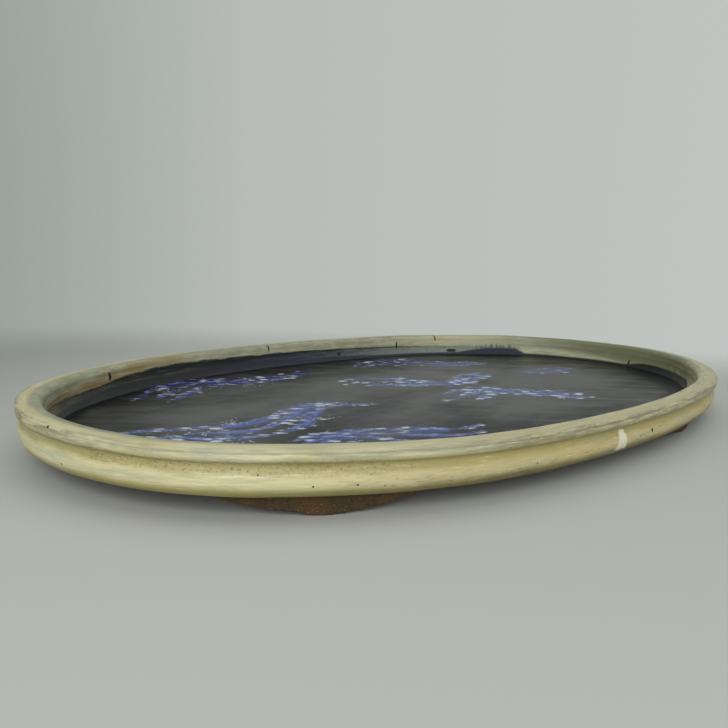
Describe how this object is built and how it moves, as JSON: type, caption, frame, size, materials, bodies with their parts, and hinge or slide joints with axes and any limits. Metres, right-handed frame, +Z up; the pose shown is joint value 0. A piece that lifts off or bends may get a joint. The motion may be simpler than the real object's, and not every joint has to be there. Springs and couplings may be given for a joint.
{
  "type": "ikebana suiban",
  "caption": "Shallow oval stoneware basin for flower arrangements, with a thick round wall, a crowned rim, a dark flat floor and low bracket feet.",
  "frame": {"origin": "on the table, under the middle of the oval", "axes": "+X along the oval's long axis, +Y along its short axis, +Z up"},
  "size_m": [0.45, 0.265, 0.026],
  "materials": {
    "glazed_wall": "satin ash glaze",
    "floor_glaze": "satin dark glaze",
    "bare_clay": "unglazed gritty clay"
  },
  "bodies": {
    "root": {"rim_band": "glazed_wall", "belly_wall": "glazed_wall", "floor_slab": "floor_glaze", "foot_front_left": "bare_clay", "foot_front_right": "bare_clay", "foot_back_left": "bare_clay", "foot_back_right": "bare_clay"}
  },
  "joints": []
}
